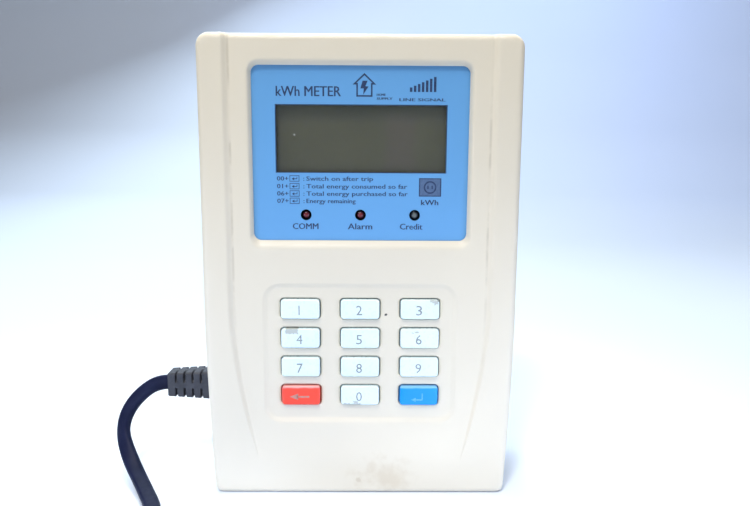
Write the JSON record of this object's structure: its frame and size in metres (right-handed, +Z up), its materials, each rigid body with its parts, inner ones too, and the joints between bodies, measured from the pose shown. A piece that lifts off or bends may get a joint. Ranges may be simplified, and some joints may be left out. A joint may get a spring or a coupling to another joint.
{
  "type": "prepaid electricity meter",
  "caption": "Upright keypad and display unit of a prepaid electricity meter, with a blue window, sprung keys and a flat mains lead that ends in a moulded plug.",
  "frame": {"origin": "middle of the case's underside, on the surface that it stands on", "axes": "+Z up along the case's height, -Y the way the keys face, +X to the right of someone who faces the keys"},
  "size_m": [0.1409, 0.1439, 0.154],
  "materials": {
    "case_cream": "satin",
    "key_white": "satin",
    "key_red": "satin",
    "key_blue": "satin",
    "film_blue": "gloss",
    "clear_plate": "clear",
    "display_glass": "grey-green",
    "backlight_white": "frosted",
    "lamp_red": "clear red",
    "lamp_grey": "clear",
    "screw_steel": "zinc",
    "grey_rubber": "matte",
    "board_green": "solder mask",
    "part_black": "moulded",
    "part_yellow": "dipped",
    "part_blue": "dipped",
    "terminal_green": "moulded",
    "fuse_ceramic": "ceramic",
    "core_iron": "laminated",
    "winding_tape": "tape",
    "wire_brown": "wire",
    "wire_blue": "wire",
    "relief_black": "moulded",
    "lead_black": "satin",
    "tie_black": "moulded",
    "plug_black": "moulded",
    "pin_nickel": "nickel"
  },
  "bodies": {
    "case": {"front_cover": "case_cream", "rear_cover": "case_cream", "printed_film": "film_blue", "display_window": "clear_plate", "display_glass": "display_glass", "display_backlight": "backlight_white", "led_comm": "lamp_red", "led_alarm": "lamp_red", "led_credit": "lamp_grey", "case_screw_top_left": "screw_steel", "case_screw_top_right": "screw_steel", "case_screw_bottom_left": "screw_steel", "case_screw_bottom_right": "screw_steel", "board_screw_1": "screw_steel", "board_screw_2": "screw_steel", "board_screw_3": "screw_steel", "board_screw_4": "screw_steel", "timing_crystal": "screw_steel", "backup_battery": "screw_steel", "keypad_mat": "grey_rubber", "display_contact_strip": "grey_rubber", "main_board": "board_green", "display_frame": "part_black", "rectifier_bridge": "part_black", "voltage_regulator": "part_black", "coupling_transformer": "part_black", "modem_chip": "part_black", "controller_chip": "part_black", "memory_chip": "part_black", "buzzer": "part_black", "filter_capacitor": "part_yellow", "coupling_capacitor": "part_yellow", "surge_arrester": "part_blue", "smoothing_capacitor": "part_blue", "mains_terminal": "terminal_green", "mains_fuse": "fuse_ceramic", "transformer_core": "core_iron", "transformer_winding": "winding_tape", "live_wire": "wire_brown", "neutral_wire": "wire_blue", "strain_relief": "relief_black", "mains_lead": "lead_black", "cord_coil": "lead_black", "plug_lead": "lead_black", "cord_tie": "tie_black", "plug_body": "plug_black", "plug_pin_live": "pin_nickel", "plug_pin_neutral": "pin_nickel"},
    "key_1": {"key_1": "key_white"},
    "key_2": {"key_2": "key_white"},
    "key_3": {"key_3": "key_white"},
    "key_4": {"key_4": "key_white"},
    "key_5": {"key_5": "key_white"},
    "key_6": {"key_6": "key_white"},
    "key_7": {"key_7": "key_white"},
    "key_8": {"key_8": "key_white"},
    "key_9": {"key_9": "key_white"},
    "key_delete": {"key_delete": "key_red"},
    "key_0": {"key_0": "key_white"},
    "key_enter": {"key_enter": "key_blue"}
  },
  "joints": [
    {"name": "key_1_press", "type": "slide", "parent": "case", "child": "key_1", "axis": [0, 1, 0], "range_m": [0, 0.001], "stiffness_N_per_m": 900, "springref_m": -0.0004},
    {"name": "key_2_press", "type": "slide", "parent": "case", "child": "key_2", "axis": [0, 1, 0], "range_m": [0, 0.001], "stiffness_N_per_m": 900, "springref_m": -0.0004},
    {"name": "key_3_press", "type": "slide", "parent": "case", "child": "key_3", "axis": [0, 1, 0], "range_m": [0, 0.001], "stiffness_N_per_m": 900, "springref_m": -0.0004},
    {"name": "key_4_press", "type": "slide", "parent": "case", "child": "key_4", "axis": [0, 1, 0], "range_m": [0, 0.001], "stiffness_N_per_m": 900, "springref_m": -0.0004},
    {"name": "key_5_press", "type": "slide", "parent": "case", "child": "key_5", "axis": [0, 1, 0], "range_m": [0, 0.001], "stiffness_N_per_m": 900, "springref_m": -0.0004},
    {"name": "key_6_press", "type": "slide", "parent": "case", "child": "key_6", "axis": [0, 1, 0], "range_m": [0, 0.001], "stiffness_N_per_m": 900, "springref_m": -0.0004},
    {"name": "key_7_press", "type": "slide", "parent": "case", "child": "key_7", "axis": [0, 1, 0], "range_m": [0, 0.001], "stiffness_N_per_m": 900, "springref_m": -0.0004},
    {"name": "key_8_press", "type": "slide", "parent": "case", "child": "key_8", "axis": [0, 1, 0], "range_m": [0, 0.001], "stiffness_N_per_m": 900, "springref_m": -0.0004},
    {"name": "key_9_press", "type": "slide", "parent": "case", "child": "key_9", "axis": [0, 1, 0], "range_m": [0, 0.001], "stiffness_N_per_m": 900, "springref_m": -0.0004},
    {"name": "key_delete_press", "type": "slide", "parent": "case", "child": "key_delete", "axis": [0, 1, 0], "range_m": [0, 0.001], "stiffness_N_per_m": 900, "springref_m": -0.0004},
    {"name": "key_0_press", "type": "slide", "parent": "case", "child": "key_0", "axis": [0, 1, 0], "range_m": [0, 0.001], "stiffness_N_per_m": 900, "springref_m": -0.0004},
    {"name": "key_enter_press", "type": "slide", "parent": "case", "child": "key_enter", "axis": [0, 1, 0], "range_m": [0, 0.001], "stiffness_N_per_m": 900, "springref_m": -0.0004}
  ]
}
